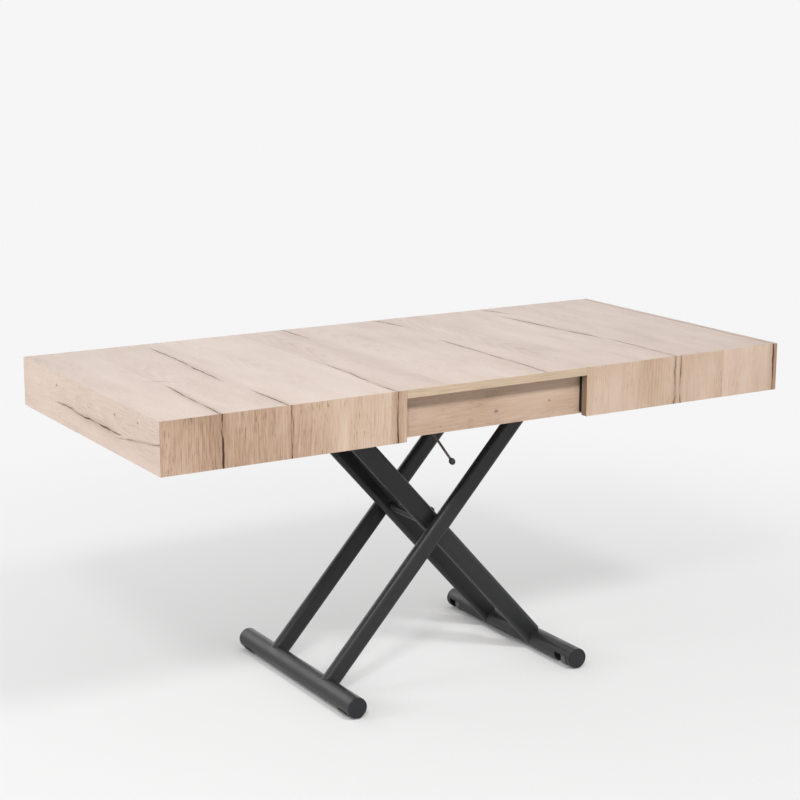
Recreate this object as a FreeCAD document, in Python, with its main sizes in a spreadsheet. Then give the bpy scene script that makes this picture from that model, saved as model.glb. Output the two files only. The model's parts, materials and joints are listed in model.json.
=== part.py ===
"""Convertible coffee and dining table: two sliding top halves with a loose leaf between them,
carried by a fixed box on a scissor frame that raises and lowers it.

Millimetres. X runs along the table, the front is -Y, Z is up and the floor is z = 0.
The table is drawn raised and extended, with the leaf in place.
"""
import FreeCAD, Part
import math
import os
import re
import Sketcher

ALONG = FreeCAD.Vector(1, 0, 0)
ACROSS = FreeCAD.Vector(0, 1, 0)
UP = FreeCAD.Vector(0, 0, 1)
HALF_TURN = 180
QUARTER_TURN = 90

# Sizes that can be set by themselves
DRIVING = [
    # table top
    ("open_length", "1600"),
    ("table_width", "750"),
    ("table_height", "760"),
    ("skirt_height", "112"),
    ("board", "18"),
    ("leaf_width", "470"),
    ("leaf_seam", "0.4"),
    ("angle_leg", "30"),
    ("angle_wall", "3"),
    ("angle_height", "60"),
    # leaf
    ("pad_height", "2"),
    ("pad_length", "180"),
    ("pad_width", "14"),
    ("pad_spread", "230"),
    ("batten_length", "400"),
    ("batten_width", "20"),
    ("batten_gap", "3.1"),
    ("batten_clearance", "8"),
    # fixed box
    ("box_length", "1080"),
    ("box_recess", "28"),
    ("box_lift", "2"),
    ("end_plate_wall", "4"),
    ("end_plate_height", "58"),
    ("end_plate_drop", "2"),
    # guides and runners of the sliding halves
    ("guide_width", "20"),
    ("guide_height", "22"),
    ("guide_wall", "2"),
    ("guide_slot", "9"),
    ("guide_drop", "2"),
    ("runner_play", "0.4"),
    ("runner_end_gap", "30"),
    ("runner_setback", "6"),
    ("runner_flange", "18"),
    # scissor frame
    ("foot_spread", "605"),
    ("foot_axis_height", "26"),
    ("pivot_drop", "45"),
    ("frame_shift", "8"),
    ("leg_thickness", "25"),
    ("leg_wall", "2"),
    ("inner_leg_width", "48"),
    ("outer_leg_width", "45"),
    ("inner_leg_spacing", "187"),
    ("leg_gap", "4"),
    ("inner_leg_foot_stop", "5"),
    ("inner_leg_foot_cut", "18"),
    ("outer_leg_foot_stop", "8"),
    ("inner_leg_overrun", "26"),
    ("outer_leg_overrun", "8"),
    ("running_fit", "0.05"),
    ("centre_axle_diameter", "22"),
    ("centre_bush_wall", "3"),
    ("centre_axle_end_gap", "0.6"),
    ("washer_diameter", "42"),
    ("washer_play", "0.2"),
    ("hinge_axle_diameter", "14"),
    ("hinge_bush_wall", "3"),
    ("hinge_bush_lip", "1"),
    ("hinge_block_length", "50"),
    ("brace_wall", "2"),
    ("brace_start", "22"),
    ("brace_bend_share", "0.4"),
    ("brace_top_gap", "44.5"),
    ("brace_offset_low", "4"),
    ("brace_offset_high", "10.4"),
    # rails and rollers
    ("roller_diameter", "28"),
    ("roller_width", "14"),
    ("roller_play", "0.4"),
    ("roller_hub_diameter", "20"),
    ("roller_axle_diameter", "10"),
    ("rail_wall", "2.5"),
    ("rail_gap", "3"),
    ("rail_side_play", "1.5"),
    ("cross_tube_width", "40"),
    ("cross_tube_height", "15"),
    ("cross_tube_wall", "2"),
    ("left_cross_tube_gap", "118"),
    ("right_cross_tube_gap", "190"),
    # foot bars
    ("bar_diameter", "48"),
    ("bar_wall", "2"),
    ("bar_length", "537"),
    ("plug_cap", "2.5"),
    ("plug_rim", "0.8"),
    ("plug_play", "0.2"),
    ("plug_stem", "14"),
    ("foot_pad_wall", "2"),
    ("foot_pad_width", "34"),
    ("foot_pad_inset", "38"),
    ("foot_pad_arc", "116"),
    # wheels
    ("wheel_diameter", "34"),
    ("wheel_tread", "18"),
    ("wheel_edge", "2"),
    ("wheel_inset", "38"),
    ("wheel_slot", "48"),
    ("wheel_slot_rise", "3"),
    ("wheel_side_play", "0.4"),
    ("wheel_over", "2"),
    ("wheel_hub_diameter", "14"),
    ("wheel_axle_diameter", "8"),
    ("wheel_bearing", "13"),
    # release lever
    ("lever_offset", "96"),
    ("lever_standoff", "32.5"),
    ("lever_rise", "15"),
    ("lever_droop", "30.5"),
    ("lever_length", "168.5"),
    ("lever_diameter", "5.6"),
    ("lever_hub_diameter", "14"),
    ("lever_hub_width", "19"),
    ("lever_pin_diameter", "8"),
    ("knob_diameter", "14"),
    ("knob_length", "17"),
    ("knob_grip", "8"),
    ("bracket_wall", "3"),
    ("bracket_height", "46"),
    ("bracket_drop", "9"),
    ("bracket_reach", "10"),
    ("bracket_play", "0.5"),
    # gas spring
    ("spring_side", "60"),
    ("anchor_share", "0.734"),
    ("spring_anchor_offset", "5"),
    ("spring_pin_diameter", "10"),
    ("crank_length", "26"),
    ("crank_lean", "22.5"),
    ("crank_wall", "5"),
    ("crank_boss_wall", "4"),
    ("eye_diameter", "20"),
    ("eye_width", "14"),
    ("eye_play", "0.5"),
    ("barrel_diameter", "26"),
    ("barrel_wall", "2"),
    ("barrel_share", "0.65"),
    ("barrel_mouth", "15.4"),
    ("spring_rod_diameter", "8"),
    ("rod_share", "0.82"),
]

# Sizes and places worked out from the ones above
WORKED_OUT = [
    ("half_length", "=open_length / 2"),
    ("half_width", "=table_width / 2"),
    ("board_under", "=table_height - board"),
    ("skirt_bottom", "=table_height - skirt_height"),
    ("shell_inner", "=leaf_width / 2 + leaf_seam"),
    ("box_top", "=board_under - pad_height"),
    ("box_bottom", "=skirt_bottom + box_lift"),
    ("box_half", "=box_length / 2"),
    ("box_face", "=half_width - box_recess"),
    ("box_inside", "=box_face - board"),
    ("pivot_height", "=board_under - pivot_drop"),
    # guide channel section, seen along the table, from its floor's middle
    ("guide_half", "=guide_width / 2"),
    ("guide_hollow", "=guide_half - guide_wall"),
    ("guide_lip", "=guide_slot / 2"),
    ("guide_roof", "=guide_height - guide_wall"),
    ("guide_floor", "=box_top - guide_drop - guide_height"),
    ("guide_middle", "=box_inside - guide_half"),
    ("guide_inner_face", "=box_inside - guide_width"),
    # runner section in the guide channel
    ("runner_half", "=guide_hollow - runner_play"),
    ("runner_low", "=guide_wall + runner_play"),
    ("runner_shoulder", "=guide_roof - runner_play"),
    ("runner_neck", "=guide_lip - runner_play"),
    ("runner_top", "=board_under - guide_floor"),
    ("runner_flange_under", "=runner_top - pad_height"),
    ("runner_flange_half", "=runner_flange / 2"),
    ("runner_start", "=shell_inner + runner_setback"),
    ("runner_length", "=half_length - board - runner_end_gap - runner_start"),
    # scissor geometry
    ("rise", "=pivot_height - foot_axis_height"),
    ("half_spread", "=foot_spread / 2"),
    ("left_axis_x", "=frame_shift - half_spread"),
    ("right_axis_x", "=frame_shift + half_spread"),
    ("half_leg", "=sqrt(foot_spread ^ 2 + rise ^ 2) / 2"),
    ("leg_slope", "=atan2(rise; foot_spread)"),
    ("leg_cos", "=half_spread / half_leg"),
    ("leg_sin", "=rise / 2 / half_leg"),
    ("middle_height", "=(pivot_height + foot_axis_height) / 2"),
    ("leg_half_thickness", "=leg_thickness / 2"),
    ("leg_half_hollow", "=leg_half_thickness - leg_wall"),
    ("inner_leg_flat", "=(inner_leg_width - leg_thickness) / 2"),
    ("outer_leg_flat", "=(outer_leg_width - leg_thickness) / 2"),
    ("inner_leg_half", "=inner_leg_width / 2"),
    ("inner_leg_cut_along", "=half_leg - inner_leg_foot_cut"),
    ("inner_leg_y", "=inner_leg_spacing / 2"),
    ("inner_leg_face", "=inner_leg_y - leg_half_thickness"),
    ("outer_leg_y", "=inner_leg_y + leg_thickness + leg_gap"),
    ("outer_leg_face", "=outer_leg_y + leg_half_thickness"),
    ("bar_radius", "=bar_diameter / 2"),
    ("bar_hollow", "=bar_radius - bar_wall"),
    ("bar_half", "=bar_length / 2"),
    ("tube_half", "=bar_half - plug_cap"),
    ("centre_axle_radius", "=centre_axle_diameter / 2"),
    ("centre_axle_half", "=outer_leg_y + leg_half_hollow - centre_axle_end_gap"),
    ("centre_bush_bore", "=centre_axle_radius + running_fit"),
    ("centre_bush_radius", "=centre_axle_radius + centre_bush_wall"),
    ("hinge_axle_radius", "=hinge_axle_diameter / 2"),
    ("hinge_bush_bore", "=hinge_axle_radius + running_fit"),
    ("hinge_bush_radius", "=hinge_axle_radius + hinge_bush_wall"),
    ("washer_radius", "=washer_diameter / 2"),
    ("roller_axle_radius", "=roller_axle_diameter / 2"),
    ("roller_bore", "=roller_axle_radius + running_fit"),
    ("roller_radius", "=roller_diameter / 2"),
    ("roller_hub_radius", "=roller_hub_diameter / 2"),
    ("roller_hub_face", "=outer_leg_face + roller_play"),
    ("brace_bend", "=half_leg * brace_bend_share"),
    ("brace_end", "=half_leg - brace_top_gap"),
    ("brace_low_back", "=brace_offset_low + brace_wall"),
    ("brace_high_back", "=brace_offset_high + brace_wall"),
    # roller rail section, seen along the table, from the roller's axis level
    ("rail_half_hollow", "=roller_radius + roller_play"),
    ("rail_half", "=rail_half_hollow + rail_wall"),
    ("rail_mouth", "=outer_leg_face + rail_gap"),
    ("roller_inner_face", "=rail_mouth + rail_side_play"),
    ("roller_outer_face", "=roller_inner_face + roller_width"),
    ("rail_web", "=roller_outer_face + rail_side_play"),
    ("rail_back", "=rail_web + rail_wall"),
    ("rail_end", "=box_half - end_plate_wall"),
    ("cross_tube_half", "=cross_tube_width / 2"),
    ("cross_tube_bottom", "=pivot_height + rail_half"),
    ("cross_tube_top", "=cross_tube_bottom + cross_tube_height"),
    ("left_cross_tube_x", "=left_axis_x - left_cross_tube_gap"),
    ("right_cross_tube_x", "=right_axis_x - right_cross_tube_gap"),
    ("batten_height", "=board_under - cross_tube_top - batten_gap"),
    ("cross_hollow_half", "=cross_tube_half - cross_tube_wall"),
    ("cross_hollow_bottom", "=cross_tube_bottom + cross_tube_wall"),
    ("cross_hollow_top", "=cross_tube_top - cross_tube_wall"),
    # foot bar ends and wheels, from the bar's axis
    ("plug_cap_radius", "=bar_radius - plug_rim"),
    ("plug_radius", "=bar_hollow - plug_play"),
    ("wheel_radius", "=wheel_diameter / 2"),
    ("wheel_drop", "=foot_axis_height - wheel_radius"),
    ("wheel_y", "=bar_half - wheel_inset"),
    ("slot_near", "=wheel_y - wheel_slot / 2"),
    ("slot_far", "=wheel_y + wheel_slot / 2"),
    ("wheel_plug_end", "=slot_near - wheel_bearing"),
    ("wheel_axle_radius", "=wheel_axle_diameter / 2"),
    ("wheel_bore", "=wheel_axle_radius + running_fit"),
    ("wheel_hub_radius", "=wheel_hub_diameter / 2"),
    ("wheel_hub_half", "=wheel_slot / 2 - wheel_side_play"),
    ("wheel_half", "=wheel_tread / 2"),
    ("wheel_flat_half", "=wheel_half - wheel_edge"),
    ("wheel_shoulder", "=wheel_radius - wheel_edge"),
    ("wheel_room", "=wheel_radius - wheel_drop + wheel_over"),
    ("bar_clear", "=bar_radius + wheel_over"),
    ("plug_stem_end", "=tube_half - plug_stem"),
    ("foot_pad_radius", "=bar_radius + foot_pad_wall"),
    ("foot_pad_near", "=bar_half - foot_pad_inset - foot_pad_width / 2"),
    ("foot_pad_far", "=bar_half - foot_pad_inset + foot_pad_width / 2"),
    # lever
    ("lever_x", "=-lever_offset"),
    ("lever_pivot_y", "=-rail_back - lever_standoff"),
    ("lever_pivot_z", "=box_bottom + lever_rise"),
    ("lever_tilt", "=(90 + lever_droop) * 1deg"),
    ("lever_radius", "=lever_diameter / 2"),
    ("lever_hub_radius", "=lever_hub_diameter / 2"),
    ("lever_pin_radius", "=lever_pin_diameter / 2"),
    ("lever_bore", "=lever_pin_radius + running_fit"),
    ("bracket_inside", "=lever_hub_width / 2 + bracket_play"),
    ("bracket_outside", "=bracket_inside + bracket_wall"),
    ("bracket_front", "=lever_pivot_y - bracket_reach"),
    ("bracket_bottom", "=lever_pivot_z - bracket_drop"),
    ("bracket_floor", "=-rail_back - bracket_wall"),
    ("bracket_seat", "=-rail_back"),
    # gas spring, seen from the front
    ("spring_anchor_along", "=half_leg * anchor_share"),
    ("anchor_x", "=frame_shift + leg_cos * spring_anchor_along + leg_sin * spring_anchor_offset"),
    ("anchor_z", "=middle_height - leg_sin * spring_anchor_along + leg_cos * spring_anchor_offset"),
    ("crank_along", "=-crank_length * sin(crank_lean * 1deg)"),
    ("crank_offset", "=crank_length * cos(crank_lean * 1deg)"),
    ("crank_pin_x", "=frame_shift + leg_cos * crank_along + leg_sin * crank_offset"),
    ("crank_pin_z", "=middle_height - leg_sin * crank_along + leg_cos * crank_offset"),
    ("spring_slope", "=atan2(crank_pin_z - anchor_z; anchor_x - crank_pin_x)"),
    ("spring_slope_back", "=180deg + spring_slope"),
    ("crank_slope", "=atan2(crank_pin_z - middle_height; crank_pin_x - frame_shift)"),
    ("spring_pin_radius", "=spring_pin_diameter / 2"),
    ("eye_bore", "=spring_pin_radius + running_fit"),
    ("eye_radius", "=eye_diameter / 2"),
    ("barrel_radius", "=barrel_diameter / 2"),
    ("barrel_bore", "=barrel_radius - barrel_wall"),
    ("barrel_mouth_radius", "=barrel_mouth / 2"),
    ("barrel_length", "=spring_anchor_along * barrel_share"),
    ("barrel_floor", "=eye_radius + barrel_wall"),
    ("barrel_lip", "=barrel_length - barrel_wall"),
    ("spring_rod_radius", "=spring_rod_diameter / 2"),
    ("spring_rod_length", "=spring_anchor_along * rod_share"),
    ("crank_inside", "=eye_width / 2 + eye_play"),
    ("crank_boss_radius", "=centre_axle_radius + crank_boss_wall"),
    ("crank_tip_radius", "=spring_pin_radius + crank_boss_wall"),
]

doc = FreeCAD.newDocument("convertible_table")
sheet = doc.addObject("Spreadsheet::Sheet", "Sizes")
for row, (alias, text) in enumerate(DRIVING + WORKED_OUT, start=1):
    sheet.set(f"A{row}", alias)
    sheet.set(f"B{row}", text)
    sheet.setAlias(f"B{row}", alias)
doc.recompute()

NAMES = {alias for alias, text in DRIVING + WORKED_OUT}
parts = []


def linked(formula):
    """The formula with each size's name pointing at its cell."""
    return re.sub(r"[a-z_]+", lambda m: "Sizes." + m[0] if m[0] in NAMES else m[0], formula)


def bind(thing, prop, formula):
    thing.setExpression(prop, linked(formula))


def value(name):
    """The present number of a size, or of a size with a minus sign before it."""
    if name == "0":
        return 0.0
    number = float(sheet.get(name.lstrip("-")))
    return -number if name.startswith("-") else number


def keep(thing, label):
    """Marks a finished piece, and gives it the name of its file."""
    thing.Label = label
    parts.append(thing)
    return thing


def place(thing, x="0", y="0", z="0", axis=UP, angle=0):
    """Puts a piece at a point, turned about an axis by a number of degrees or by a size."""
    fixed = angle if isinstance(angle, (int, float)) else 0
    thing.Placement = FreeCAD.Placement(FreeCAD.Vector(), FreeCAD.Rotation(axis, fixed))
    for prop, formula in (("x", x), ("y", y), ("z", z)):
        if formula != "0":
            bind(thing, ".Placement.Base." + prop, formula)
    if isinstance(angle, str):
        bind(thing, ".Placement.Rotation.Angle", angle)
    return thing


def box(name, length, width, height, x, y, z):
    """A block with its lowest corner at a point."""
    block = doc.addObject("Part::Box", name)
    bind(block, "Length", length)
    bind(block, "Width", width)
    bind(block, "Height", height)
    return place(block, x, y, z)


def rod(name, radius, length, x, y, z, axis=ALONG, angle=-QUARTER_TURN):
    """A round bar that starts at a point and runs, as turned, along +Y."""
    bar = doc.addObject("Part::Cylinder", name)
    bind(bar, "Radius", radius)
    bind(bar, "Height", length)
    return place(bar, x, y, z, axis, angle)


def cut(base, *tools):
    """The base with each tool taken out of it."""
    for tool in tools:
        left = doc.addObject("Part::Cut", base.Name + "_cut")
        left.Base = base
        left.Tool = tool
        base = left
    return base


def group(label, pieces):
    """Like pieces in one file."""
    together = doc.addObject("Part::Compound", label)
    together.Links = pieces
    return keep(together, label)


def body(name):
    return doc.addObject("PartDesign::Body", name)


def sketch_on(owner, role, offset=None):
    """A sketch on one of a body's own origin planes, moved along the plane's normal."""
    plane = next(p for p in owner.Origin.OriginFeatures if p.Role == role)
    drawing = owner.newObject("Sketcher::SketchObject", owner.Name + "_sketch")
    drawing.AttachmentSupport = [(plane, "")]
    drawing.MapMode = "FlatFace"
    if offset:
        bind(drawing, ".AttachmentOffset.Base.z", offset)
    return drawing


def pin_point(drawing, edge, end, across, up):
    """Fixes a point of a sketch at two sizes from its origin."""
    for kind, name in (("DistanceX", across), ("DistanceY", up)):
        number = drawing.addConstraint(Sketcher.Constraint(kind, -1, 1, edge, end, value(name)))
        if name != "0":
            label = f"{kind}_{number}"
            drawing.renameConstraint(number, label)
            bind(drawing, "Constraints." + label, name)


def outline(drawing, corners):
    """A closed outline, drawn anticlockwise. The edge from a corner marked round is a half circle."""
    first = drawing.GeometryCount
    count = len(corners)
    spots = [FreeCAD.Vector(value(corner[0]), value(corner[1]), 0) for corner in corners]
    round_edge = [len(corner) > 2 for corner in corners]
    for i, start in enumerate(spots):
        end = spots[(i + 1) % count]
        if round_edge[i]:
            middle = (start + end) / 2
            opening = math.atan2(start.y - middle.y, start.x - middle.x)
            whole = Part.Circle(middle, UP, (end - start).Length / 2)
            drawing.addGeometry(Part.ArcOfCircle(whole, opening, opening + math.pi))
        else:
            drawing.addGeometry(Part.LineSegment(start, end))
    for i in range(count):
        after = (i + 1) % count
        joint = "Tangent" if round_edge[after] else "Coincident"
        drawing.addConstraint(Sketcher.Constraint(joint, first + i, 2, first + after, 1))
    for i, corner in enumerate(corners):
        pin_point(drawing, first + i, 1, corner[0], corner[1])


def rectangle(drawing, left, bottom, right, top):
    outline(drawing, [(left, bottom), (right, bottom), (right, top), (left, top)])


def circle(drawing, across, up, radius):
    spot = FreeCAD.Vector(value(across), value(up), 0)
    index = drawing.addGeometry(Part.Circle(spot, UP, value(radius)))
    pin_point(drawing, index, 3, across, up)
    number = drawing.addConstraint(Sketcher.Constraint("Radius", index, value(radius)))
    label = f"Radius_{number}"
    drawing.renameConstraint(number, label)
    bind(drawing, "Constraints." + label, radius)


def pad(owner, drawing, length, both_ways=False):
    feature = owner.newObject("PartDesign::Pad", owner.Name + "_pad")
    feature.Profile = drawing
    feature.SideType = "Symmetric" if both_ways else "One side"
    bind(feature, "Length", length)
    return feature


def pocket(owner, drawing, length=None, backwards=False):
    """Cuts a sketch through everything both ways, or to a length against its plane's normal."""
    feature = owner.newObject("PartDesign::Pocket", owner.Name + "_pocket")
    feature.Profile = drawing
    feature.Reversed = backwards
    if length:
        bind(feature, "Length", length)
    else:
        feature.Type = "ThroughAll"
        feature.SideType = "Symmetric"
    return feature


def revolve(owner, drawing, axis, angle="360", both_ways=False):
    feature = owner.newObject("PartDesign::Revolution", owner.Name + "_turn")
    feature.Profile = drawing
    feature.ReferenceAxis = (drawing, [axis])
    feature.Midplane = both_ways
    bind(feature, "Angle", angle)
    return feature


def mitred_board(name, span, first_face, last_face, lay, turn):
    """A board whose mitred edges make one of its faces larger than the other.

    It spans two places along Y, and each face is given by its least and greatest X and Z.
    The lay turns it from there into its plane, and the turn swings it about the table's middle.
    """
    piece = doc.addObject("Part::Wedge", name)
    for prop, formula in zip(("Ymin", "Ymax"), span):
        bind(piece, prop, formula)
    for prop, formula in zip(("Xmin", "Xmax", "Zmin", "Zmax"), first_face):
        bind(piece, prop, formula)
    for prop, formula in zip(("X2min", "X2max", "Z2min", "Z2max"), last_face):
        bind(piece, prop, formula)
    piece.Placement = FreeCAD.Placement(FreeCAD.Vector(), FreeCAD.Rotation(UP, turn) * lay)
    return keep(piece, name)


def sliding_half(side, turn):
    """One half of the top: a board with mitred aprons on three sides, its runners and corner angles.

    It is drawn as the left half, and turned half round for the right one.
    """
    near, far = ("front", "back") if turn == 0 else ("back", "front")
    upright = FreeCAD.Rotation()
    endways = FreeCAD.Rotation(UP, -QUARTER_TURN)
    flat = FreeCAD.Rotation(ALONG, QUARTER_TURN)
    shown = ("-half_length", "-shell_inner", "skirt_bottom", "table_height")
    hidden = ("board - half_length", "-shell_inner", "skirt_bottom", "board_under")
    mitred_board(f"{side}_{near}_apron", ("-half_width", "board - half_width"), shown, hidden, upright, turn)
    mitred_board(f"{side}_{far}_apron", ("half_width - board", "half_width"), hidden, shown, upright, turn)
    shown = ("-half_width", "half_width", "skirt_bottom", "table_height")
    hidden = ("board - half_width", "half_width - board", "skirt_bottom", "board_under")
    mitred_board(f"{side}_end_apron", ("-half_length", "board - half_length"), shown, hidden, endways, turn)
    shown = ("-half_length", "-shell_inner", "-half_width", "half_width")
    hidden = ("board - half_length", "-shell_inner", "board - half_width", "half_width - board")
    mitred_board(f"{side}_top_board", ("board_under", "table_height"), hidden, shown, flat, turn)

    outward = "-1" if turn == 0 else "1"
    for edge, sign in (("front", "-"), ("back", "")):
        runner = body(f"{side}_{edge}_runner")
        section = sketch_on(runner, "YZ_Plane")
        outline(section, [
            ("-runner_half", "runner_low"), ("runner_half", "runner_low"),
            ("runner_half", "runner_shoulder"), ("runner_neck", "runner_shoulder"),
            ("runner_neck", "runner_flange_under"), ("runner_flange_half", "runner_flange_under"),
            ("runner_flange_half", "runner_top"), ("-runner_flange_half", "runner_top"),
            ("-runner_flange_half", "runner_flange_under"), ("-runner_neck", "runner_flange_under"),
            ("-runner_neck", "runner_shoulder"), ("-runner_half", "runner_shoulder"),
        ])
        pad(runner, section, "runner_length", both_ways=True)
        middle = f"{outward} * (runner_start + runner_length / 2)"
        place(runner, middle, sign + "guide_middle", "guide_floor")
        keep(runner, runner.Name)

    angles = []
    for sign in (-1, 1):
        bracket = body(f"{side}_corner_angle")
        section = sketch_on(bracket, "XY_Plane")
        outline(section, [
            ("0", "0"), ("angle_leg", "0"), ("angle_leg", "angle_wall"),
            ("angle_wall", "angle_wall"), ("angle_wall", "angle_leg"), ("0", "angle_leg"),
        ])
        pad(bracket, section, "angle_height")
        corner_turn = {(-1, 0): 0, (1, 0): -QUARTER_TURN, (-1, HALF_TURN): QUARTER_TURN,
                       (1, HALF_TURN): HALF_TURN}[sign, turn]
        height = "(skirt_bottom + board_under - angle_height) / 2"
        place(bracket, f"{outward} * (half_length - board)", f"{sign} * (half_width - board)", height,
              UP, corner_turn)
        angles.append(bracket)
    group(f"{side}_corner_angles", angles)


def extension_leaf():
    """The loose board between the halves, and the battens that keep it in place in the box."""
    leaf = box("extension_leaf", "leaf_width", "table_width", "board",
               "-leaf_width / 2", "-half_width", "board_under")
    keep(leaf, "extension_leaf")
    battens = []
    for edge, y in (("front", "batten_clearance - guide_inner_face"),
                    ("back", "guide_inner_face - batten_clearance - batten_width")):
        battens.append(box(edge + "_batten", "batten_length", "batten_width", "batten_height",
                           "-batten_length / 2", y, "board_under - batten_height"))
    group("leaf_battens", battens)


def fixed_box():
    """The box under the leaf: its aprons, end plates, leaf pads and cross tubes."""
    for edge, y in (("front", "-box_face"), ("back", "box_inside")):
        apron = box(edge + "_inner_apron", "box_length", "board", "box_top - box_bottom",
                    "-box_half", y, "box_bottom")
        keep(apron, apron.Name)
    for side, x in (("left", "-box_half"), ("right", "rail_end")):
        plate = box(side + "_end_plate", "end_plate_wall", "box_inside * 2", "end_plate_height",
                    x, "-box_inside", "guide_floor - end_plate_drop - end_plate_height")
        keep(plate, plate.Name)
    pads = []
    for middle_y in ("board / 2 - box_face", "box_face - board / 2"):
        for middle_x in ("-pad_spread / 2", "pad_spread / 2"):
            pads.append(box("leaf_pad", "pad_length", "pad_width", "pad_height",
                            f"{middle_x} - pad_length / 2", f"{middle_y} - pad_width / 2", "box_top"))
    group("leaf_pads", pads)
    for side in ("left", "right"):
        tube = body(side + "_cross_tube")
        section = sketch_on(tube, "XZ_Plane")
        rectangle(section, "-cross_tube_half", "cross_tube_bottom", "cross_tube_half", "cross_tube_top")
        rectangle(section, "-cross_hollow_half", "cross_hollow_bottom",
                  "cross_hollow_half", "cross_hollow_top")
        pad(tube, section, "guide_inner_face * 2", both_ways=True)
        place(tube, side + "_cross_tube_x")
        keep(tube, tube.Name)


def rails_and_guides():
    """The roller rails, open towards the middle, and the lipped channels that hold the runners."""
    for edge, turn in (("front", HALF_TURN), ("back", 0)):
        rail = body(edge + "_roller_rail")
        section = sketch_on(rail, "YZ_Plane")
        outline(section, [
            ("rail_mouth", "-rail_half"), ("rail_back", "-rail_half"),
            ("rail_back", "rail_half"), ("rail_mouth", "rail_half"),
            ("rail_mouth", "rail_half_hollow"), ("rail_web", "rail_half_hollow"),
            ("rail_web", "-rail_half_hollow"), ("rail_mouth", "-rail_half_hollow"),
        ])
        pad(rail, section, "rail_end * 2", both_ways=True)
        keep(place(rail, z="pivot_height", angle=turn), rail.Name)

        guide = body(edge + "_guide_channel")
        section = sketch_on(guide, "YZ_Plane")
        outline(section, [
            ("-guide_half", "0"), ("guide_half", "0"), ("guide_half", "guide_height"),
            ("guide_lip", "guide_height"), ("guide_lip", "guide_roof"), ("guide_hollow", "guide_roof"),
            ("guide_hollow", "guide_wall"), ("-guide_hollow", "guide_wall"), ("-guide_hollow", "guide_roof"),
            ("-guide_lip", "guide_roof"), ("-guide_lip", "guide_height"), ("-guide_half", "guide_height"),
        ])
        pad(guide, section, "box_length", both_ways=True)
        sign = "-" if edge == "front" else ""
        keep(place(guide, y=sign + "guide_middle", z="guide_floor"), guide.Name)


def top_hinge():
    """The axle that the inner legs turn on, and the blocks that hold it in the rails."""
    blocks = []
    for edge, y in (("front", "-rail_web"), ("back", "rail_mouth")):
        block = box(edge + "_hinge_block",
                    "hinge_block_length", "rail_web - rail_mouth", "rail_half_hollow * 2",
                    "left_axis_x - hinge_block_length / 2", y, "pivot_height - rail_half_hollow")
        hole = rod(edge + "_hinge_hole", "hinge_axle_radius", "rail_web - rail_mouth",
                   "left_axis_x", y, "pivot_height")
        blocks.append(cut(block, hole))
    group("hinge_blocks", blocks)
    axle = rod("hinge_axle", "hinge_axle_radius", "rail_web * 2", "left_axis_x", "-rail_web", "pivot_height")
    keep(axle, "hinge_axle")


def flat_oval(drawing, half, flat):
    """A section with straight long sides and half round ends, thin along the first direction."""
    outline(drawing, [
        (half, "-" + flat), (half, flat, "round"),
        ("-" + half, flat), ("-" + half, "-" + flat, "round"),
    ])


def leg_tube(name, kind, y, foot_end):
    """A flat-oval leg about its middle pivot, coped over its foot bar.

    foot_end is its foot's way along X.
    """
    leg = body(name)
    start = f"half_leg - {kind}_leg_foot_stop" if foot_end == "-" else f"half_leg + {kind}_leg_overrun"
    section = sketch_on(leg, "YZ_Plane", f"-({start})")
    flat_oval(section, "leg_half_thickness", kind + "_leg_flat")
    flat_oval(section, "leg_half_hollow", kind + "_leg_flat")
    pad(leg, section, f"2 * half_leg - {kind}_leg_foot_stop + {kind}_leg_overrun")
    cope = sketch_on(leg, "XZ_Plane")
    circle(cope, foot_end + "half_leg", "0", "bar_radius")
    pocket(leg, cope)
    turn_axis = -ACROSS if foot_end == "-" else ACROSS
    place(leg, "frame_shift", y, "middle_height", turn_axis, "leg_slope")
    return leg


def legs():
    """Both pairs of legs with the holes for their axles and bushes."""
    for edge, sign in (("front", "-"), ("back", "")):
        inner = leg_tube(edge + "_inner_leg", "inner", sign + "inner_leg_y", "")
        holes = sketch_on(inner, "XZ_Plane")
        circle(holes, "0", "0", "centre_bush_radius")
        circle(holes, "-half_leg", "0", "hinge_bush_radius")
        pocket(inner, holes)
        # the upper edge stops short of the bar
        short_end = sketch_on(inner, "XZ_Plane")
        rectangle(short_end, "inner_leg_cut_along", "0", "half_leg", "inner_leg_half")
        pocket(inner, short_end)
        keep(inner, inner.Name)

        outer = leg_tube(edge + "_outer_leg", "outer", sign + "outer_leg_y", "-")
        roller_hole = sketch_on(outer, "XZ_Plane")
        circle(roller_hole, "half_leg", "0", "roller_axle_radius")
        pocket(outer, roller_hole)
        # the middle axle enters the outer leg from the inner side alone
        axle_hole = sketch_on(outer, "XZ_Plane")
        circle(axle_hole, "0", "0", "centre_axle_radius")
        pocket(outer, axle_hole, "leg_thickness", backwards=edge == "back")
        keep(outer, outer.Name)


def ring(name, radius, bore, width):
    """A plain ring about an axis along Y, in the middle of its width."""
    piece = body(name)
    section = sketch_on(piece, "XZ_Plane")
    circle(section, "0", "0", radius)
    circle(section, "0", "0", bore)
    pad(piece, section, width, both_ways=True)
    return piece


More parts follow.
